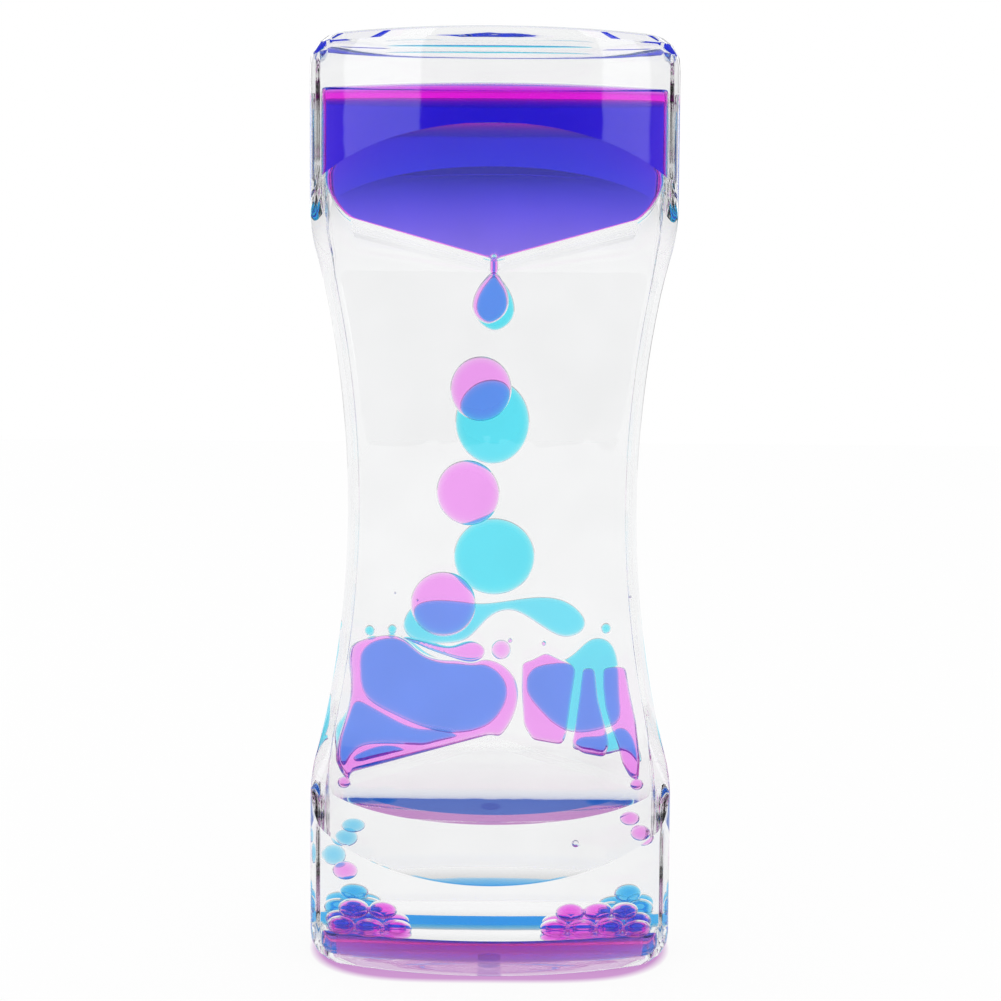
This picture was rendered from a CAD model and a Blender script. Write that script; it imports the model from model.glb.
from math import asin, cos, pi, radians, sin, sqrt

import bpy
import bmesh
import numpy as np
from mathutils import Matrix, Vector
from mathutils.geometry import delaunay_2d_cdt


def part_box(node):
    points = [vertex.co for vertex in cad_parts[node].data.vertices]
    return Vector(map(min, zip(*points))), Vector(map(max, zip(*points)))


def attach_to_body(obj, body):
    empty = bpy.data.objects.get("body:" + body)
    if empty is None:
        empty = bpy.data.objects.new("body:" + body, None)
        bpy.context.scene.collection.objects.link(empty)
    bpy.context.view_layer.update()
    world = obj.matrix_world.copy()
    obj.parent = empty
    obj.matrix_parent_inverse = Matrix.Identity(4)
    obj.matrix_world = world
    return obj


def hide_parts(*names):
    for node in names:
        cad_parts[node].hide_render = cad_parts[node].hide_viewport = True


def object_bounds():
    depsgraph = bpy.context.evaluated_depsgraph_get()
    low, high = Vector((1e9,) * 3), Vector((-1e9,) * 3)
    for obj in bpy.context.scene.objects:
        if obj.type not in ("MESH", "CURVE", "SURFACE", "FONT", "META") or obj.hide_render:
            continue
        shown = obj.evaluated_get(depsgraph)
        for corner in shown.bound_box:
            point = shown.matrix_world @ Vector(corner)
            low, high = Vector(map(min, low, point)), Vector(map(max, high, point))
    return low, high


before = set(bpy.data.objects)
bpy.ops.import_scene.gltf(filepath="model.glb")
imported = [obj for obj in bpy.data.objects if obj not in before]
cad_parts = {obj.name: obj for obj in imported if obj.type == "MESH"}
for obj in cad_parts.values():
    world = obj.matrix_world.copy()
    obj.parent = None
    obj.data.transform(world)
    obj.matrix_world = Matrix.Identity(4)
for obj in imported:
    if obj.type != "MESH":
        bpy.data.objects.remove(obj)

cad_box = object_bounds()
mm = 0.001

# Casing, to the sizes of the CAD shells
height = (cad_box[1] - cad_box[0]).z
block_half = (cad_box[1] - cad_box[0]).x / 2
block_depth_half = (cad_box[1] - cad_box[0]).y / 2
waist_half = 26.2 * mm
waist_depth_half = 7.7 * mm
side_radius = 190 * mm
shoulder_radius = 30 * mm
end_corner_radius = 5 * mm
face_radius = 85 * mm
scoop_radius = 42 * mm
scoop_rise = 16.3 * mm
wall = 2.6 * mm
cap_thickness = 1.6 * mm
divider_half = 0.4 * mm
inner_corner_radius = 2 * mm

# Roundings of the moulded edges, softer than the CAD's, and where the waist's begin
block_round = 4.5 * mm
waist_round = 4.0 * mm
base_round = 0.5 * mm
round_start = 28 * mm
round_full = 46 * mm
base_round_steps = 5

# Rows of the casing's mesh: least height of the block's side, and how far past
# its turn the scoop's rows go
least_side = 2 * mm
past_turn = 1 * mm

# A depth beyond every face, where the scoop doesn't reach
no_scoop = 1.0

# Gaps that keep each body of liquid inside the next
oil_gap = 0.05 * mm
liquid_gap = 0.15 * mm

# Refractive indices, each against what lies round it
acrylic_in_air = 1.49
oil_in_acrylic = 0.973
acrylic_in_oil = 1.015
dyed_water_in_oil = 0.917
air_in_oil = 0.69

front = -1
back = 1


# Casing surface
def scoop_centre():
    return waist_depth_half + scoop_radius


def scoop_turn():
    drop = block_depth_half - waist_depth_half
    return scoop_rise + sqrt(scoop_radius**2 - (scoop_radius - drop)**2)


def from_end(z):
    return min(z, height - z)


def half_width(z, inset, end_inset, corner):
    """Half the width of the hourglass, in front view, at height z."""
    low = from_end(z)
    radius = side_radius + inset
    reach = waist_half + side_radius
    shoulder = shoulder_radius - inset
    block = block_half - inset
    shoulder_x = block - shoulder
    shoulder_z = height / 2 - sqrt((radius + shoulder)**2 - (reach - shoulder_x)**2)
    touch_z = shoulder_z + shoulder * (height / 2 - shoulder_z) / (radius + shoulder)
    if low < shoulder_z:
        x = block
    elif low < touch_z:
        x = shoulder_x + sqrt(shoulder**2 - (low - shoulder_z)**2)
    else:
        x = reach - sqrt(radius**2 - (height / 2 - low)**2)
    rise = low - end_inset
    if rise < corner:
        x -= corner - sqrt(max(corner**2 - (corner - rise)**2, 0))
    return x


def scoop_depth(z, inset):
    """How far the scooped face stands from the middle, at height z."""
    below = max(scoop_turn() - from_end(z), 0)
    radius = scoop_radius + inset
    if below >= radius:
        return no_scoop
    return scoop_centre() - sqrt(radius**2 - below**2)


def edge_height(depth, inset):
    """Height at which the scoop meets a point of the block that stands this deep."""
    radius = scoop_radius + inset
    gap = scoop_centre() - depth
    if gap >= radius:
        return scoop_turn()
    return scoop_turn() - sqrt(radius**2 - gap**2)


def plan_quarter(inset, corner, counts, stop):
    """A quarter of the block's plan, from the face's middle to the side at y = stop."""
    radius = face_radius - inset
    centre_y = block_depth_half - face_radius
    half = block_half - inset
    corner_x = half - corner
    corner_y = centre_y + sqrt((radius - corner)**2 - corner_x**2)
    turn = asin(corner_x / (radius - corner))
    face, bend, side = counts
    points = []
    for step in range(face):
        angle = turn * step / face
        points.append((radius * sin(angle), centre_y + radius * cos(angle)))
    for step in range(bend):
        angle = turn + (pi / 2 - turn) * step / bend
        points.append((corner_x + corner * sin(angle), corner_y + corner * cos(angle)))
    for step in range(side + 1):
        points.append((half, corner_y + (stop - corner_y) * step / side))
    return points


def waist_quarter(half, depth, corner, counts, stop):
    """A quarter of the waist's section: flat face, rounded edge, flat side."""
    face, bend, side = counts
    points = []
    for step in range(face):
        points.append(((half - corner) * step / face, depth))
    for step in range(bend):
        angle = pi / 2 * step / bend
        points.append((half - corner + corner * sin(angle), depth - corner + corner * cos(angle)))
    for step in range(side + 1):
        points.append((half, depth - corner + (stop - depth + corner) * step / side))
    return points


def smooth_step(value):
    value = min(max(value, 0), 1)
    return value * value * (3 - 2 * value)


def casing_point(plan, column, z, inset, end_inset, end_corner, corner, counts, stop):
    width = half_width(z, inset, end_inset, end_corner)
    depth = scoop_depth(z, inset)
    share = smooth_step((from_end(z) - round_start) / (round_full - round_start))
    sharp = (plan[column][0] * width / (block_half - inset), min(plan[column][1], depth))
    if share == 0:
        return sharp
    soft = waist_quarter(width, min(depth, block_depth_half), corner, counts, stop)[column]
    return tuple(a + (b - a) * share for a, b in zip(sharp, soft))


def row_heights(depth, inset, low, counts):
    """Heights of the rows of one column: up the block, up the scoop, up the waist."""
    edge = max(edge_height(depth, inset), low + least_side)
    start = scoop_turn() + past_turn
    block, scoop, waist = counts
    rows = [low + (edge - low) * step / block for step in range(block)]
    rows += [edge + (start - edge) * step / scoop for step in range(scoop)]
    rows += [start + (height / 2 - start) * step / waist for step in range(waist + 1)]
    return rows + [height - z for z in reversed(rows[:-1])]


# Steps over the face, its rounded corner and the side, and up the block, scoop and waist
column_counts = (26, 12, 7)
row_counts = (16, 26, 22)


def casing_grid(side, inset, low, end_inset, end_corner, block_corner, waist_corner, stop):
    """Rows of points over one half of the casing, from its left edge round to its right."""
    plan = plan_quarter(inset, block_corner, column_counts, stop)
    columns = []
    for column, (x, y) in enumerate(plan):
        points = []
        for z in row_heights(y, inset, low, row_counts):
            px, py = casing_point(
                plan, column, z, inset, end_inset, end_corner, waist_corner, column_counts, stop
            )
            points.append((px, side * py, z))
        columns.append(points)
    mirrored = [[(-x, y, z) for x, y, z in points] for points in columns[:0:-1]]
    columns = mirrored + columns
    return [[columns[c][r] for c in range(len(columns))] for r in range(len(columns[0]))]


# Mesh helpers: distances within which points are one or a face is flat, and the
# angles, in degrees, from which an edge shows as sharp
join_distance = 1e-7
merge_distance = 1e-6
flatness = 0.02 * mm
casing_sharp = 25
liquid_sharp = 50

# Material slots of a casing piece
outer_slot, glued_slot, underside_slot = 0, 1, 2


def new_piece(name, vertices, faces, materials, slots=None, sharp=casing_sharp):
    mesh = bpy.data.meshes.new(name)
    mesh.from_pydata([Vector(v) for v in vertices], [], faces)
    for material in materials:
        mesh.materials.append(material)
    if slots is not None:
        for polygon, slot in zip(mesh.polygons, slots):
            polygon.material_index = slot
    work = bmesh.new()
    work.from_mesh(mesh)
    bmesh.ops.remove_doubles(work, verts=work.verts, dist=join_distance)
    bmesh.ops.recalc_face_normals(work, faces=work.faces)
    work.to_mesh(mesh)
    work.free()
    mesh.shade_smooth()
    mesh.set_sharp_from_angle(angle=radians(sharp))
    piece = bpy.data.objects.new(name, mesh)
    bpy.context.scene.collection.objects.link(piece)
    return piece


def attach(piece, body, slot, *nodes):
    """Puts a piece on its body; without nodes, it comes on top of the CAD's."""
    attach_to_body(piece, body)
    if nodes:
        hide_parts(*nodes)


def grid_faces(rows, columns, start=0):
    faces = []
    for row in range(rows - 1):
        for column in range(columns - 1):
            a = start + row * columns + column
            faces.append((a, a + 1, a + columns + 1, a + columns))
    return faces


# Materials: tints, roughness and unevenness of the clear plastic
acrylic_tint = (0.93, 0.935, 0.94)
plug_tint = (0.74, 0.70, 0.88)
plug_roughness = 0.25
underside_alpha = 0.4
noise_detail = 2.0
mottle_scale = 90
mottle_amount = 0.015
mottle_edges = (0.35, 0.65)
ripple_scale = 110
ripple_height = 0.035 * mm


def new_material(name):
    material = bpy.data.materials.new(name)
    material.use_nodes = True
    nodes = material.node_tree.nodes
    nodes.clear()
    output = nodes.new("ShaderNodeOutputMaterial")
    shader = nodes.new("ShaderNodeBsdfPrincipled")
    material.node_tree.links.new(shader.outputs["BSDF"], output.inputs["Surface"])
    return material, shader, output


def soft_noise(material, scale):
    nodes, links = material.node_tree.nodes, material.node_tree.links
    place = nodes.new("ShaderNodeTexCoord")
    noise = nodes.new("ShaderNodeTexNoise")
    noise.inputs["Scale"].default_value = scale
    noise.inputs["Detail"].default_value = noise_detail
    links.new(place.outputs["Object"], noise.inputs["Vector"])
    return noise.outputs["Fac"]


def mottle(material, shader, colour):
    """Varies the base colour a little over the surface."""
    nodes, links = material.node_tree.nodes, material.node_tree.links
    ramp = nodes.new("ShaderNodeValToRGB")
    darker, full = ramp.color_ramp.elements
    darker.position, full.position = mottle_edges
    darker.color = (*[c * (1 - mottle_amount) for c in colour], 1)
    full.color = (*colour, 1)
    links.new(soft_noise(material, mottle_scale), ramp.inputs["Fac"])
    links.new(ramp.outputs["Color"], shader.inputs["Base Color"])


def ripple(material, shader, distance):
    """The slight waviness of moulded acrylic."""
    nodes, links = material.node_tree.nodes, material.node_tree.links
    bump = nodes.new("ShaderNodeBump")
    bump.inputs["Strength"].default_value = 1.0
    bump.inputs["Distance"].default_value = distance
    links.new(soft_noise(material, ripple_scale), bump.inputs["Height"])
    links.new(bump.outputs["Normal"], shader.inputs["Normal"])


def clear_material(name, ior, tint=(1, 1, 1), rough=0.0, waviness=0, alpha=1.0):
    """Clear stuff; an alpha below 1 lets part of the light straight through."""
    material, shader, _ = new_material(name)
    shader.inputs["Alpha"].default_value = alpha
    shader.inputs["Transmission Weight"].default_value = 1
    shader.inputs["IOR"].default_value = ior
    shader.inputs["Roughness"].default_value = rough
    mottle(material, shader, tint)
    if waviness:
        ripple(material, shader, waviness)
    return material


def unseen_material(name):
    """Faces glued to the next piece, which light crosses as if they weren't there."""
    material, shader, _ = new_material(name)
    shader.inputs["Alpha"].default_value = 0
    return material


def dyed_material(name, ior, colour, density):
    material = clear_material(name, ior)
    nodes, links = material.node_tree.nodes, material.node_tree.links
    output = next(node for node in nodes if node.type == "OUTPUT_MATERIAL")
    dye = nodes.new("ShaderNodeVolumeAbsorption")
    dye.inputs["Color"].default_value = (*colour, 1)
    dye.inputs["Density"].default_value = density
    links.new(dye.outputs["Volume"], output.inputs["Volume"])
    return material


casing_skin = clear_material("clear_acrylic", acrylic_in_air, tint=acrylic_tint, waviness=ripple_height)
glued_face = unseen_material("glued_acrylic_face")
underside = clear_material("acrylic_underside", acrylic_in_air, tint=acrylic_tint, alpha=underside_alpha)
plate_skin = clear_material("acrylic_plate", acrylic_in_oil)
oil_skin = clear_material("clear_oil", oil_in_acrylic)
air_skin = clear_material("air_bubble", air_in_oil)
plug_skin = clear_material("acrylic_plug", acrylic_in_oil, tint=plug_tint, rough=plug_roughness)

# Dyed water, by the place where it lies: colour and density of absorption
magenta = dyed_material("magenta_water", dyed_water_in_oil, (0.958, 0.01, 0.967), 215)
cyan = dyed_material("cyan_water", dyed_water_in_oil, (0.0, 0.915, 0.997), 450)
cyan_cell = dyed_material("cyan_water_cell", dyed_water_in_oil, (0.0, 0.88, 0.995), 380)
magenta_deep = dyed_material("magenta_water_deep", dyed_water_in_oil, (0.96, 0.0, 0.94), 360)
cyan_deep = dyed_material("cyan_water_deep", dyed_water_in_oil, (0.0, 0.90, 0.98), 285)
magenta_floor = dyed_material("magenta_water_floor", dyed_water_in_oil, (0.94, 0.0, 0.78), 190)
cyan_floor = dyed_material("cyan_water_floor", dyed_water_in_oil, (0.0, 0.74, 0.97), 300)
magenta_bead = dyed_material("magenta_water_bead", dyed_water_in_oil, (0.93, 0.0, 0.90), 420)
cyan_bead = dyed_material("cyan_water_bead", dyed_water_in_oil, (0.0, 0.75, 0.97), 560)
magenta_strand = dyed_material("magenta_water_strand", dyed_water_in_oil, (0.95, 0.0, 0.96), 1100)
cyan_strand = dyed_material("cyan_water_strand", dyed_water_in_oil, (0.0, 0.88, 0.99), 1300)


# Casing pieces
def outer_grid(side):
    """The casing's outer skin, from cap to cap."""
    return casing_grid(side, 0, cap_thickness, 0, end_corner_radius, block_round, waist_round, divider_half)


def inner_grid(side, gap):
    """The chamber's skin, drawn in by a gap."""
    inset, low, near = wall + gap, cap_thickness + gap, divider_half + gap
    return casing_grid(
        side, inset, low, low, inner_corner_radius, block_round - inset, waist_round - inset, near
    )


def shell(name, side):
    """Half of the casing: its outer skin shows, and the oil's body shows its inner one."""
    outer = outer_grid(side)
    inner = inner_grid(side, 0)
    rows, columns = len(outer), len(outer[0])
    vertices = [p for row in outer for p in row] + [p for row in inner for p in row]
    offset = rows * columns
    faces = grid_faces(rows, columns)
    slots = [outer_slot] * len(faces)
    faces += grid_faces(rows, columns, offset)
    edge = list(range(columns))
    edge += [row * columns + columns - 1 for row in range(1, rows)]
    edge += [(rows - 1) * columns + column for column in range(columns - 2, -1, -1)]
    edge += [row * columns for row in range(rows - 2, 0, -1)]
    for here, after in zip(edge, edge[1:] + edge[:1]):
        faces.append((here, after, after + offset, here + offset))
    slots += [glued_slot] * (len(faces) - len(slots))
    piece = new_piece(name, vertices, faces, [casing_skin, glued_face], slots)
    attach(piece, "casing", "clear_casing", name)


def ring(z, shrink):
    """The block's section at height z, as a closed ring of points."""
    plan = plan_quarter(0, block_round, column_counts, 0)
    scale = half_width(z, 0, 0, end_corner_radius) / block_half
    quarter = [(x * scale, y) for x, y in plan]
    points = quarter[:-1] + [(x, -y) for x, y in quarter[:0:-1]]
    points += [(-x, -y) for x, y in quarter[:-1]] + [(-x, y) for x, y in quarter[:0:-1]]
    size_x, size_y = max(x for x, _ in points), max(y for _, y in points)
    return [(x * (1 - shrink / size_x), y * (1 - shrink / size_y), z) for x, y in points]


def cap(name, top):
    """An end cap; the bottom one rests on a face with a look of its own."""
    heights, shrinks = [], []
    for step in range(base_round_steps + 1):
        angle = pi / 2 * step / base_round_steps
        heights.append(base_round * (1 - cos(angle)))
        shrinks.append(base_round * (1 - sin(angle)))
    heights.append(cap_thickness)
    shrinks.append(0)
    loops = [ring(z, shrink) for z, shrink in zip(heights, shrinks)]
    if top:
        loops = [[(x, y, height - z) for x, y, z in loop] for loop in loops]
    count = len(loops[0])
    vertices = [p for loop in loops for p in loop]
    faces, slots = [], []
    for level in range(len(loops) - 1):
        for step in range(count):
            after = (step + 1) % count
            a, b = level * count + step, level * count + after
            faces.append((a, b, b + count, a + count))
            slots.append(outer_slot)
    faces.append(tuple(range(count)))
    slots.append(outer_slot if top else underside_slot)
    faces.append(tuple(range((len(loops) - 1) * count, len(loops) * count)))
    slots.append(glued_slot)
    piece = new_piece(name, vertices, faces, [casing_skin, glued_face, underside], slots)
    attach(piece, "casing", "clear_caps", name)


def divider():
    """The sheet between the chambers: its edges at the sides show, the rest is glued."""
    edge = [(row[-1][0], row[-1][2]) for row in outer_grid(back)]
    rows, corners = len(edge), 4
    vertices = []
    for x, z in edge:
        vertices += [(-x, -divider_half, z), (x, -divider_half, z)]
        vertices += [(x, divider_half, z), (-x, divider_half, z)]
    faces, slots = [], []
    for row in range(rows - 1):
        for step in range(corners):
            a, b = row * corners + step, row * corners + (step + 1) % corners
            faces.append((a, b, b + corners, a + corners))
            slots.append(outer_slot if step % 2 else glued_slot)
    faces += [tuple(range(corners)), tuple(range((rows - 1) * corners, rows * corners))]
    slots += [glued_slot, glued_slot]
    piece = new_piece("divider_sheet", vertices, faces, [casing_skin, glued_face], slots)
    attach(piece, "casing", "divider_sheet", "divider_sheet")


def oil_body(name, side):
    """One body of oil that fills a chamber, in place of the CAD's two."""
    grid = inner_grid(side, oil_gap)
    rows, columns = len(grid), len(grid[0])
    vertices = [p for row in grid for p in row]
    faces = grid_faces(rows, columns)
    for row in range(rows - 1):
        a = row * columns
        faces.append((a, a + columns, a + 2 * columns - 1, a + columns - 1))
    faces += [tuple(range(columns)), tuple(range((rows - 1) * columns, rows * columns))]
    piece = new_piece(f"{name}_oil", vertices, faces, [oil_skin])
    attach(piece, "casing", "clear_oil", f"{name}_oil", f"{name}_upper_oil")


# Bodies of liquid: the least count of points on an outline and on an oval; rings
# of points inside a rounded rim, as shares of its width, and up to which share a
# ring keeps all its points; how near rings and grid come to the outline; the rim's
# largest share of half the depth; and the spacing of points
least_points = 12
least_oval_points = 24
rim_shares = (0.03, 0.12, 0.27, 0.5, 0.78)
full_ring_share = 0.2
ring_fit = 0.93
grid_margin = 1.05
corner_share = 0.97
outline_step = 0.45 * mm
slab_step = 1.1 * mm

# The triangulation's mode that keeps the faces inside the outline, a distance
# beyond every point, and the least square of an outline's step
inside_only = 1
far_away = 1e9
least_square = 1e-18


def inner_depth(x, z, gap):
    """How deep a chamber reaches at x, z, less a gap."""
    inset = wall + gap
    lens = sqrt((face_radius - inset)**2 - x * x) + block_depth_half - face_radius
    return min(lens, scoop_depth(z, inset))


def outline_of(node):
    """The outline, in x and z, of the flat face that a slab of liquid turns to the divider."""
    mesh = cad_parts[node].data
    work = bmesh.new()
    work.from_mesh(mesh)
    bmesh.ops.remove_doubles(work, verts=work.verts, dist=merge_distance)
    near = min(abs(v.co.y) for v in work.verts)
    flat = {f for f in work.faces if all(abs(abs(v.co.y) - near) < flatness for v in f.verts)}
    edges = [e for e in work.edges if sum(f in flat for f in e.link_faces) == 1]
    follow = {}
    for edge in edges:
        a, b = edge.verts
        follow.setdefault(a, []).append(b)
        follow.setdefault(b, []).append(a)
    start = max(follow, key=lambda v: v.co.x)
    loop, last, here = [start], None, start
    while True:
        options = [v for v in follow[here] if v is not last]
        last, here = here, options[0]
        if here is start:
            break
        loop.append(here)
    points = np.array([(v.co.x, v.co.z) for v in loop])
    work.free()
    return points


def resample(points, step):
    closed = np.vstack([points, points[:1]])
    lengths = np.r_[0, np.cumsum(np.linalg.norm(np.diff(closed, axis=0), axis=1))]
    count = max(int(lengths[-1] / step), least_points)
    places = np.linspace(0, lengths[-1], count, endpoint=False)
    return np.c_[np.interp(places, lengths, closed[:, 0]), np.interp(places, lengths, closed[:, 1])]


def soften(points, rounds):
    for _ in range(rounds):
        points = (np.roll(points, 1, 0) + 2 * points + np.roll(points, -1, 0)) / 4
    return points


def outline_distance(points, outline):
    """Distance of each point from a closed outline, and whether it lies inside."""
    a = outline
    b = np.roll(outline, -1, 0)
    best = np.full(len(points), far_away)
    inside = np.zeros(len(points), bool)
    for (ax, az), (bx, bz) in zip(a, b):
        dx, dz = bx - ax, bz - az
        square = max(dx * dx + dz * dz, least_square)
        t = np.clip(((points[:, 0] - ax) * dx + (points[:, 1] - az) * dz) / square, 0, 1)
        best = np.minimum(best, np.hypot(points[:, 0] - ax - t * dx, points[:, 1] - az - t * dz))
        if az != bz:
            crosses = ((az > points[:, 1]) != (bz > points[:, 1]))
            crosses &= points[:, 0] < ax + (points[:, 1] - az) * dx / dz
            inside ^= crosses
    return best, inside


def inner_points(outline, rim, step):
    """Rings near the outline, close together where the rim curves, then a grid."""
    inward = -outward_of(outline)
    kept = []
    for share in rim_shares:
        ring_points = outline + inward * rim * share
        if share > full_ring_share:
            ring_points = ring_points[::2]
        distance, inside = outline_distance(ring_points, outline)
        kept.append(ring_points[inside & (distance > ring_fit * rim * share)])
    low, high = outline.min(0), outline.max(0)
    grid_x, grid_z = np.meshgrid(np.arange(low[0], high[0], step), np.arange(low[1], high[1], step))
    grid_x[::2] += step / 2
    grid = np.c_[grid_x.ravel(), grid_z.ravel()]
    distance, inside = outline_distance(grid, outline)
    kept.append(grid[inside & (distance > rim * grid_margin)])
    return np.vstack(kept)


def rounded_faces(side, flat, distance, rim):
    """Points of a slab's two faces, towards the wall and the divider, drawn in at the rim."""
    near = divider_half + liquid_gap
    fronts, backs = [], []
    for (x, z), inward in zip(flat, distance):
        deep = inner_depth(x, z, liquid_gap)
        middle, half = (deep + near) / 2, (deep - near) / 2
        corner = min(rim, corner_share * half)
        reach = corner * sqrt(max(1 - (1 - min(inward / rim, 1))**2, 0))
        fronts.append((x, side * (middle + half - corner + reach), z))
        backs.append((x, side * (middle - half + corner - reach), z))
    return fronts, backs


def slab(name, side, outline, rim, material, step=slab_step):
    """A body of liquid between the divider and the wall, with a rounded rim."""
    points = np.vstack([outline, inner_points(outline, rim, step)])
    count = len(outline)
    border = [(i, (i + 1) % count) for i in range(count)]
    found = delaunay_2d_cdt([Vector(p) for p in points], border, [], inside_only, join_distance)
    flat = np.array([tuple(v) for v in found[0]])
    triangles = [tuple(face) for face in found[2]]
    distance, _ = outline_distance(flat, outline)
    distance[:count] = 0
    fronts, backs = rounded_faces(side, flat, distance, rim)
    total = len(flat)
    faces = triangles + [tuple(total + i for i in reversed(face)) for face in triangles]
    edges = dict.fromkeys(pair for face in triangles for pair in zip(face, face[1:] + face[:1]))
    for a, b in edges:
        if (b, a) not in edges:
            faces.append((b, a, a + total, b + total))
    return new_piece(name, fronts + backs, faces, [material], sharp=liquid_sharp)


def oval(centre_x, centre_z, half_x, half_z, turn, step):
    """Points round an ellipse turned about its centre."""
    count = max(int(2 * pi * max(half_x, half_z) / step), least_oval_points)
    angles = np.linspace(0, 2 * pi, count, endpoint=False)
    x, z = half_x * np.cos(angles), half_z * np.sin(angles)
    return np.c_[centre_x + x * cos(turn) - z * sin(turn), centre_z + x * sin(turn) + z * cos(turn)]


# Each colour's chamber: where it is, its materials by place, and how far the
# surfaces of its reservoir and floor layer stand above the CAD's
chambers = {
    "magenta": {
        "side": front, "name": "front", "drop": magenta, "pool": magenta, "bead": magenta_bead,
        "reservoir": magenta_deep, "floor": magenta_floor, "surface_lift": 1.0 * mm, "floor_lift": 0,
        "strand": magenta_strand,
    },
    "cyan": {
        "side": back, "name": "back", "drop": cyan, "pool": cyan_cell, "bead": cyan_bead,
        "reservoir": cyan_deep, "floor": cyan_floor, "surface_lift": 0.4 * mm, "floor_lift": -0.4 * mm,
        "strand": cyan_strand,
    },
}


# Outlines of the magenta liquid on the right of the roof, parted by two clear
# columns: x as a share of the plates' half span, z as a share of the pool's
# height above the roof's top
plate_span = 25.4 * mm
pool_height = 17.5 * mm
roof_top = 40.4 * mm
magenta_right_shares = (
    (
        (0.22, 0.77), (0.29, 0.80), (0.39, 0.88), (0.50, 0.80), (0.59, 0.75), (0.605, 0.70),
        (0.57, 0.35), (0.54, 0.00), (0.51, -0.09), (0.30, -0.04), (0.235, 0.12), (0.22, 0.48),
    ),
    (
        (0.655, 0.72), (0.74, 0.72), (0.765, 0.39), (0.82, 0.10), (0.85, -0.07), (0.82, -0.22),
        (0.66, -0.18), (0.58, -0.09), (0.60, 0.05), (0.63, 0.39),
    ),
    (
        (0.80, 0.72), (0.89, 0.74), (0.96, 0.73), (0.99, 0.48), (1.04, 0.15), (1.07, -0.23),
        (1.06, -0.46), (1.00, -0.43), (0.94, -0.27), (0.92, -0.12), (0.87, 0.07), (0.82, 0.30), (0.80, 0.53),
    ),
)
# Stray drops on the pools: colour, x and z as above, radius as a share of the
# pool's height
stray_shares = (
    ("magenta", 0.070, 0.90, 0.105), ("magenta", 0.135, 1.0, 0.03), ("magenta", 0.375, 0.97, 0.03),
    ("cyan", -0.885, 1.06, 0.06), ("cyan", -0.72, 1.075, 0.055), ("cyan", 0.83, 1.10, 0.06),
)


def from_shares(shares):
    return np.array([(x * plate_span, roof_top + z * pool_height) for x, z in shares])


# Spacing, softening and rim of these outlines
cell_step = 0.4 * mm
cell_rounds = 4
cell_rim = 0.9 * mm


def magenta_right_pool():
    """Three cells of one pool, made as one piece."""
    cells = []
    for number, shares in enumerate(magenta_right_shares):
        outline = soften(resample(from_shares(shares), cell_step), cell_rounds)
        cells.append(slab(f"magenta_right_cell_{number}", front, outline, cell_rim, magenta))
    joined = bmesh.new()
    for cell in cells:
        joined.from_mesh(cell.data)
        bpy.data.objects.remove(cell)
    piece = piece_from("magenta_pool_right_body", joined, magenta)
    attach(piece, "casing", "magenta_liquid", "magenta_pool_right")


# The stray drops' distance from the middle, and half their depth
stray_y = 2.75 * mm
stray_depth_half = 1.9 * mm
stray_segments = 24


def stray_drops(colour):
    own = chambers[colour]
    work = bmesh.new()
    for kind, x, z, radius in stray_shares:
        if kind == colour:
            centre = (x * plate_span, own["side"] * stray_y, roof_top + z * pool_height)
            half = radius * pool_height
            ball(work, centre, (half, stray_depth_half, half), stray_segments)
    attach(piece_from(f"{colour}_stray_drops", work, own["drop"]), "casing", f"{colour}_liquid")


# Rounded rims of the liquids, and spacing of the points inside the drops
falling_rim = 1.7 * mm
falling_step = 0.9 * mm
hanging_rim = 1.2 * mm
hanging_step = 0.8 * mm
hanging_outline_step = 0.3 * mm
hanging_rounds = 8
pool_rim = 1.2 * mm
reservoir_rim = 0.8 * mm
layer_rim = 0.6 * mm

# How the falling drops are turned, in radians
falling_turns = {
    "magenta_drop_1": 0.0,
    "magenta_drop_2": 0.5,
    "magenta_drop_3": -0.6,
    "cyan_drop_1": 0.0,
    "cyan_drop_2": 0.0,
}


def falling_drop(node, colour, turn):
    own = chambers[colour]
    low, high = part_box(node)
    middle, half = (low + high) / 2, (high - low) / 2
    outline = oval(middle.x, middle.z, half.x, half.z, turn, outline_step)
    piece = slab(f"{node}_body", own["side"], outline, falling_rim, own["drop"], falling_step)
    attach(piece, node, f"{colour}_liquid", node)


# Shares of a hanging drop's length below the nozzle, and of its half width there
teardrop_shares = (
    (0.0, 0.22), (0.05, 0.27), (0.12, 0.42), (0.22, 0.64), (0.33, 0.83), (0.44, 0.95),
    (0.56, 1.02), (0.68, 1.03), (0.80, 0.91), (0.90, 0.66), (0.97, 0.36), (1.01, 0.0),
)
# How far the hanging drops lean to the right, per length below the nozzle
hanging_leans = {"magenta": -0.10, "cyan": 0.02}

# Strand of liquid in a nozzle: its radius, how far it reaches into the drop below
# it, and the height within which a point of its ball counts as its equator
strand_radius = 0.72 * mm
strand_overlap = 0.35 * mm
strand_segments = 20
equator_band = 0.01 * mm


def hanging_drop(node, colour, lean):
    own = chambers[colour]
    low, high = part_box(node)
    length = high.z - low.z
    half = (high.x - low.x) / 2
    right = [(half * wide, high.z - down * length) for down, wide in teardrop_shares]
    points = right + [(-x, z) for x, z in reversed(right[:-1])]
    points = np.array([(x + lean * (high.z - z), z) for x, z in points])
    outline = soften(resample(points, hanging_outline_step), hanging_rounds)
    piece = slab(f"{node}_body", own["side"], outline, hanging_rim, own["drop"], hanging_step)
    attach(piece, node, f"{colour}_liquid", node)


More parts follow.
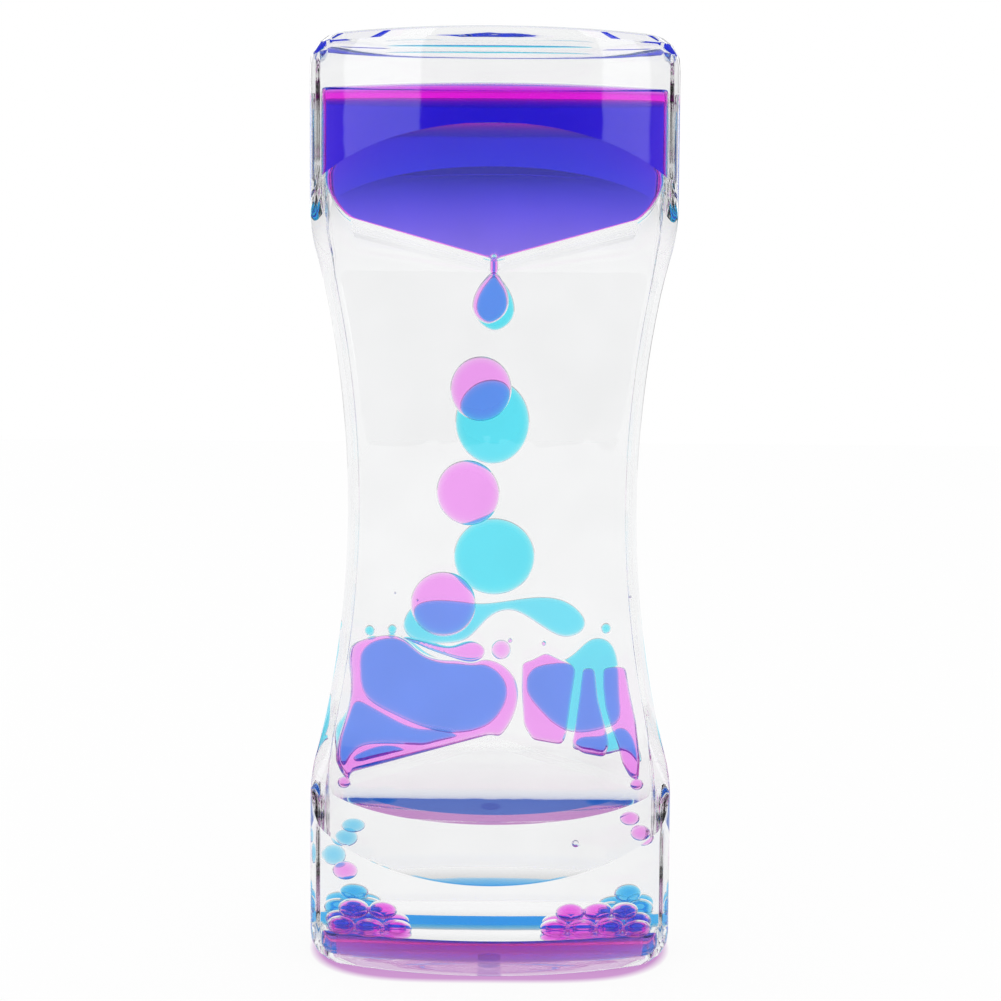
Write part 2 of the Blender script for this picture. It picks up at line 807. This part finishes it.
def nozzle_strand(colour):
    """Liquid in the funnel's hole, between the reservoir and the hanging drop."""
    own = chambers[colour]
    low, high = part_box(f"{colour}_hanging_drop")
    bottom = high.z - strand_overlap
    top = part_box(f"{colour}_reservoir")[0].z + 2 * strand_overlap
    centre = Vector(((low.x + high.x) / 2, (low.y + high.y) / 2, (top + bottom) / 2))
    stretch = (top - bottom) / 2 - strand_radius
    work = bmesh.new()
    ball(work, centre, (strand_radius, strand_radius, strand_radius), strand_segments)
    for vertex in work.verts:
        away = vertex.co.z - centre.z
        if abs(away) > equator_band:
            vertex.co.z += stretch if away > 0 else -stretch
    attach(piece_from(f"{colour}_nozzle_strand", work, own["strand"]), "casing", f"{colour}_liquid")


# How far the cyan cells on the left of the roof spread past their CAD outline, and
# the share of that lost where they face up
cell_spread = {
    "cyan_pool_left_upper": 0.8 * mm,
    "cyan_pool_left_lower": 0.5 * mm,
    "cyan_pool_left_small": 0.3 * mm,
}
upward_loss = 0.85
spread_rounds = 3

# Height of the roof at its ends, what is left free above it, and the band of an
# outline that counts as its surface
roof_end = 33.2 * mm
roof_clearance = 0.4 * mm
surface_band = 0.8 * mm


def outward_of(outline):
    """Unit vectors that point out of a closed outline, at each of its points."""
    area = np.sum(outline[:, 0] * np.roll(outline[:, 1], -1) - np.roll(outline[:, 0], -1) * outline[:, 1])
    along = np.roll(outline, -1, 0) - np.roll(outline, 1, 0)
    along /= np.linalg.norm(along, axis=1)[:, None]
    return np.c_[along[:, 1], -along[:, 0]] * (1 if area > 0 else -1)


def spread(outline, distance):
    """An outline moved outward, but less so upward and not into the roof."""
    outward = outward_of(outline)
    share = 1 - upward_loss * np.maximum(outward[:, 1:], 0)
    moved = outline + outward * distance * share
    roof = roof_top - (roof_top - roof_end) * np.abs(moved[:, 0]) / plate_span
    moved[:, 1] = np.maximum(moved[:, 1], roof + roof_clearance)
    return soften(resample(moved, outline_step), spread_rounds)


def resting_liquid(node, colour, rim, material, rounds=3, lift=0):
    """A still body of liquid; lift moves its surface up or down."""
    own = chambers[colour]
    outline = soften(resample(outline_of(node), outline_step), rounds)
    if node in cell_spread:
        outline = spread(outline, cell_spread[node])
    top = outline[:, 1].max()
    outline[outline[:, 1] > top - surface_band, 1] += lift
    piece = slab(f"{node}_body", own["side"], outline, rim, material)
    attach(piece, "casing", f"{colour}_liquid", node)


def ball(work, centre, radii, segments):
    made = bmesh.ops.create_uvsphere(work, u_segments=segments, v_segments=segments // 2, radius=1)
    bmesh.ops.scale(work, vec=Vector(radii), verts=made["verts"])
    bmesh.ops.translate(work, vec=Vector(centre), verts=made["verts"])


def piece_from(name, work, material):
    mesh = bpy.data.meshes.new(name)
    work.to_mesh(mesh)
    work.free()
    mesh.materials.append(material)
    mesh.shade_smooth()
    piece = bpy.data.objects.new(name, mesh)
    bpy.context.scene.collection.objects.link(piece)
    return piece


small_drop_segments = 28


def small_drop(node, colour):
    own = chambers[colour]
    low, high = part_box(node)
    work = bmesh.new()
    ball(work, (low + high) / 2, (high - low) / 2, small_drop_segments)
    attach(piece_from(f"{node}_body", work, own["bead"]), node, f"{colour}_liquid", node)


def bead_places(node):
    """Centres and half sizes of the CAD node's separate beads."""
    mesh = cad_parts[node].data
    work = bmesh.new()
    work.from_mesh(mesh)
    bmesh.ops.remove_doubles(work, verts=work.verts, dist=merge_distance)
    left, places = set(work.verts), []
    while left:
        stack, group = [left.pop()], []
        while stack:
            here = stack.pop()
            group.append(here.co.copy())
            for edge in here.link_edges:
                other = edge.other_vert(here)
                if other in left:
                    left.remove(other)
                    stack.append(other)
        low = Vector([min(p[i] for p in group) for i in range(3)])
        high = Vector([max(p[i] for p in group) for i in range(3)])
        places.append(((low + high) / 2, (high - low) / 2))
    work.free()
    return sorted(places, key=lambda place: tuple(place[0]))


# Beads press against each other and sink a little into the layer they lie on;
# their sizes and places vary by shares of the CAD bead's half width
bead_swell = 1.12
bead_sink = 1.0 * mm
bead_sizes = (0.95, 1.12)
bead_jitter = 0.1
bead_flatness = 0.9
bead_segments = 24
pile_draw_in = 0.985
rows_draw_in = 0.95


def bead_pile(node, colour, seed):
    own = chambers[colour]
    chance = np.random.default_rng(seed)
    work = bmesh.new()
    places = bead_places(node)
    middle_y = sum(centre.y for centre, _ in places) / len(places)
    for centre, half in places:
        size = Vector(chance.uniform(*bead_sizes, 3)) * half.x * bead_swell
        size.z *= bead_flatness * half.z / half.x
        shift = Vector(chance.uniform(-bead_jitter, bead_jitter, 3)) * half.x
        shift.z += own["floor_lift"] - bead_sink
        centre.x *= pile_draw_in
        centre.y = middle_y + (centre.y - middle_y) * rows_draw_in
        ball(work, centre + shift, size, bead_segments)
    attach(piece_from(f"{node}_body", work, own["bead"]), "casing", f"{colour}_liquid", node)


# Air under the top cap: half sizes in millimetres, place, and how much of its
# upper half is left
bubble_half = (17.4, 2.6, 0.4)
bubble_x = -1.0 * mm
bubble_y = 4.0 * mm
bubble_top_gap = 0.15 * mm
bubble_top_share = 0.1
bubble_segments = 48


def air_bubble(name, side):
    """The flat bubble of air that lies under the top cap."""
    half = Vector(bubble_half) * mm
    centre = Vector((bubble_x, side * bubble_y, height - cap_thickness - oil_gap - bubble_top_gap))
    work = bmesh.new()
    ball(work, centre, half, bubble_segments)
    for vertex in work.verts:
        if vertex.co.z > centre.z:
            vertex.co.z = centre.z + (vertex.co.z - centre.z) * bubble_top_share
    attach(piece_from(name, work, air_skin), "casing", "clear_oil")


# Fine bubbles in the seam: how many, and their ranges of height and radius in
# millimetres and of place across the wall
seam_seed = 7
seam_count = 110
seam_heights = (46, 84)
seam_radii = (0.08, 0.2)
seam_wall_shares = (0.2, 0.75)
seam_segments = 10

# Loose bubbles in the oil: x, z and radius in millimetres
loose_bubbles = ((15.6, 19.5, 0.75), (-17.5, 66.5, 0.2), (-13.5, 65.2, 0.25), (24.5, 66.0, 0.2))
loose_y = -4.0 * mm
loose_segments = 16


def seam_bubbles():
    """Fine air bubbles along the right glued seam, and a few loose ones in the oil."""
    chance = np.random.default_rng(seam_seed)
    work = bmesh.new()
    for _ in range(seam_count):
        z = chance.uniform(*seam_heights) * mm
        radius = chance.uniform(*seam_radii) * mm
        x = half_width(z, 0, 0, end_corner_radius) - wall * chance.uniform(*seam_wall_shares)
        ball(work, (x, front * divider_half, z), (radius, radius, radius), seam_segments)
    for x, z, radius in loose_bubbles:
        ball(work, (x * mm, loose_y, z * mm), (radius * mm, radius * mm, radius * mm), loose_segments)
    attach(piece_from("seam_bubbles", work, air_skin), "casing", "clear_oil")


def paint_plates():
    """Plates and plugs keep their CAD shapes and only take a look."""
    looks = {"upper_funnel": plate_skin, "lower_funnel": plate_skin, "fill_plug": plug_skin}
    for name in ("front", "back"):
        for part, look in looks.items():
            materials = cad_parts[f"{name}_{part}"].data.materials
            materials.clear()
            materials.append(look)


def make_casing():
    shell("front_shell", front)
    shell("back_shell", back)
    cap("bottom_cap", False)
    cap("top_cap", True)
    divider()


def fill_chamber(colour):
    """What always stands in a chamber: oil, reservoir, floor layer and small things."""
    own = chambers[colour]
    oil_body(own["name"], own["side"])
    resting_liquid(f"{colour}_reservoir", colour, reservoir_rim, own["reservoir"], 1, own["surface_lift"])
    resting_liquid(f"{colour}_floor_layer", colour, layer_rim, own["floor"], 1, own["floor_lift"])
    air_bubble(f"{own['name']}_air_bubble", own["side"])
    stray_drops(colour)
    nozzle_strand(colour)


def make_drops():
    """The drops of the middle rows, the pools and beads, and the drops beside the roofs."""
    for colour, lean in hanging_leans.items():
        hanging_drop(f"{colour}_hanging_drop", colour, lean)
    for node, turn in falling_turns.items():
        falling_drop(node, node.split("_")[0], turn)
    for node in sorted(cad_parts):
        colour = node.split("_")[0]
        if node == "magenta_pool_right":
            magenta_right_pool()
        elif "_pool_" in node or node == "cyan_landing_drop":
            resting_liquid(node, colour, pool_rim, chambers[colour]["pool"])
        elif "_side_drop_" in node or "_edge_drip_" in node:
            small_drop(node, colour)
        elif "_beads_" in node:
            bead_pile(node, colour, len(node))


# Studio: how bright glass and gloss see each part of it, where the backdrop is 1
front_light = 0.08
softbox_light = 1.9
above_light = 0.5
side_light = 0.6

# Where the white backdrop dims: between these sizes of the x part and of the z
# part of a ray's direction
beside_from, beside_full = 0.45, 0.95
overhead_from, overhead_full = 0.3, 0.85

# The two softboxes: azimuths in radians, z parts of the direction, and how soft
# their upright and level edges are
left_softbox = (-0.72, -0.35)
right_softbox = (0.50, 0.73)
softbox_rise = (-0.45, 0.75)
upright_softness = 0.01
level_softness = 0.05


def math_node(tree, operation, first, second=None):
    node = tree.nodes.new("ShaderNodeMath")
    node.operation = operation
    for socket, value in zip(node.inputs, (first, second)):
        if isinstance(value, (int, float)):
            socket.default_value = value
        elif value is not None:
            tree.links.new(value, socket)
    return node.outputs[0]


def band(tree, value, low, high, soft):
    """One between low and high, and nothing outside, with soft edges."""
    edges = []
    for edge, sign in ((low, 1), (high, -1)):
        node = tree.nodes.new("ShaderNodeMapRange")
        node.interpolation_type = "SMOOTHSTEP"
        node.inputs["From Min"].default_value = edge - sign * soft
        node.inputs["From Max"].default_value = edge + sign * soft
        tree.links.new(value, node.inputs["Value"])
        edges.append(node.outputs["Result"])
    return math_node(tree, "MULTIPLY", *edges)


def step_between(tree, value, low, high, start, end):
    """A smooth step from one strength to another."""
    node = tree.nodes.new("ShaderNodeMapRange")
    node.interpolation_type = "SMOOTHSTEP"
    node.inputs["From Min"].default_value = low
    node.inputs["From Max"].default_value = high
    node.inputs["To Min"].default_value = start
    node.inputs["To Max"].default_value = end
    tree.links.new(value, node.inputs["Value"])
    return node.outputs["Result"]


def backdrop_light(tree, x, z):
    """What clear pieces show: white, dimmer to the sides and overhead."""
    wide = math_node(tree, "ABSOLUTE", x)
    beside = step_between(tree, wide, beside_from, beside_full, 1.0, side_light)
    overhead = step_between(tree, z, overhead_from, overhead_full, 1.0, above_light)
    return math_node(tree, "MULTIPLY", beside, overhead)


def softbox_glow(tree, x, y, z):
    """What gloss shows: a dim room with two upright softboxes before each face."""
    depth = math_node(tree, "ABSOLUTE", y)
    azimuth = math_node(tree, "ARCTAN2", x, depth)
    left = band(tree, azimuth, *left_softbox, upright_softness)
    right = band(tree, azimuth, *right_softbox, upright_softness)
    rise = band(tree, z, *softbox_rise, level_softness)
    boxes = math_node(tree, "MULTIPLY", math_node(tree, "ADD", left, right), rise)
    lit = math_node(tree, "MULTIPLY", boxes, softbox_light)
    room = math_node(tree, "MULTIPLY", math_node(tree, "MAXIMUM", z, 0), above_light)
    return math_node(tree, "ADD", lit, math_node(tree, "ADD", room, front_light))


def light_source(tree, strength):
    source = tree.nodes.new("ShaderNodeBackground")
    source.inputs["Color"].default_value = (1, 1, 1, 1)
    if strength is not None:
        tree.links.new(strength, source.inputs["Strength"])
    return source.outputs["Background"]


def choose(tree, chance, first, second):
    mix = tree.nodes.new("ShaderNodeMixShader")
    tree.links.new(chance, mix.inputs["Fac"])
    tree.links.new(first, mix.inputs[1])
    tree.links.new(second, mix.inputs[2])
    return mix.outputs["Shader"]


def background():
    world = bpy.data.worlds.new("studio")
    bpy.context.scene.world = world
    world.use_nodes = True
    tree = world.node_tree
    tree.nodes.clear()
    output = tree.nodes.new("ShaderNodeOutputWorld")
    path = tree.nodes.new("ShaderNodeLightPath")
    place = tree.nodes.new("ShaderNodeTexCoord")
    split = tree.nodes.new("ShaderNodeSeparateXYZ")
    tree.links.new(place.outputs["Generated"], split.inputs["Vector"])
    x, y, z = split.outputs
    seen_through = light_source(tree, backdrop_light(tree, x, z))
    mirrored = light_source(tree, softbox_glow(tree, x, y, z))
    plain = light_source(tree, None)
    gloss = choose(tree, path.outputs["Is Glossy Ray"], plain, mirrored)
    tree.links.new(
        choose(tree, path.outputs["Is Transmission Ray"], gloss, seen_through), output.inputs["Surface"]
    )


# Floor: its size and colour, how much of it glows, and the rose patch under the
# base, a rounded rectangle that shows as a rim round it
floor_half = 3.0
floor_level = -0.05 * mm
floor_white = 0.97
floor_roughness = 0.6
floor_glow = 0.92
rim_colour = (0.62, 0.30, 0.64, 1)
rim_width = 0.985
rim_depth = 1.07
rim_edges = (0.48, 0.60)


def tinted_light(material, socket):
    """White, with the rose patch where half of across**4 + along**2 is small."""
    tree = material.node_tree
    place = tree.nodes.new("ShaderNodeTexCoord")
    split = tree.nodes.new("ShaderNodeSeparateXYZ")
    tree.links.new(place.outputs["Object"], split.inputs["Vector"])
    across = math_node(tree, "DIVIDE", split.outputs[0], block_half * rim_width)
    along = math_node(tree, "DIVIDE", split.outputs[1], block_depth_half * rim_depth)
    apart = math_node(tree, "ADD", math_node(tree, "POWER", across, 4), math_node(tree, "POWER", along, 2))
    ramp = tree.nodes.new("ShaderNodeValToRGB")
    rose, white = ramp.color_ramp.elements
    rose.position, white.position = rim_edges
    rose.color = rim_colour
    white.color = (1, 1, 1, 1)
    tree.links.new(math_node(tree, "MULTIPLY", apart, 0.5), ramp.inputs["Fac"])
    tree.links.new(ramp.outputs["Color"], socket)


def floor():
    mesh = bpy.data.meshes.new("floor")
    corners = [(-1, -1), (1, -1), (1, 1), (-1, 1)]
    vertices = [(x * floor_half, y * floor_half, floor_level) for x, y in corners]
    mesh.from_pydata(vertices, [], [(0, 1, 2, 3)])
    ground = bpy.data.objects.new("floor", mesh)
    bpy.context.scene.collection.objects.link(ground)
    material, shader, output = new_material("pale_floor")
    shader.inputs["Base Color"].default_value = (floor_white, floor_white, floor_white, 1)
    shader.inputs["Roughness"].default_value = floor_roughness
    nodes, links = material.node_tree.nodes, material.node_tree.links
    glow = nodes.new("ShaderNodeEmission")
    tinted_light(material, glow.inputs["Color"])
    mix = nodes.new("ShaderNodeMixShader")
    mix.inputs["Fac"].default_value = floor_glow
    links.new(shader.outputs["BSDF"], mix.inputs[1])
    links.new(glow.outputs["Emission"], mix.inputs[2])
    links.new(mix.outputs["Shader"], output.inputs["Surface"])
    mesh.materials.append(material)


# Camera: lens and sensor in millimetres, place in metres, turns in radians
sensor_width = 36
lens = 58.3
clip_start = 0.01
camera_place = (1.47 * mm, -297 * mm, 103 * mm)
camera_pitch = 0.0671
camera_roll = 0.0072


def camera():
    data = bpy.data.cameras.new("camera")
    data.sensor_width = sensor_width
    data.lens = lens
    data.clip_start = clip_start
    eye = bpy.data.objects.new("camera", data)
    bpy.context.scene.collection.objects.link(eye)
    tilt = Matrix.Rotation(pi / 2 - camera_pitch, 4, "X")
    turn = tilt @ Matrix.Rotation(camera_roll, 4, "Z")
    eye.matrix_world = Matrix.Translation(camera_place) @ turn
    bpy.context.scene.camera = eye


# Light crosses many clear faces on its way through the timer
clear_bounces = 40
gloss_bounces = 8


def render_settings():
    scene = bpy.context.scene
    scene.view_settings.view_transform = "Standard"
    scene.cycles.max_bounces = clear_bounces
    scene.cycles.transmission_bounces = clear_bounces
    scene.cycles.transparent_max_bounces = clear_bounces
    scene.cycles.glossy_bounces = gloss_bounces


camera()
make_casing()
for colour in chambers:
    fill_chamber(colour)
make_drops()
seam_bubbles()
paint_plates()
background()
floor()
render_settings()
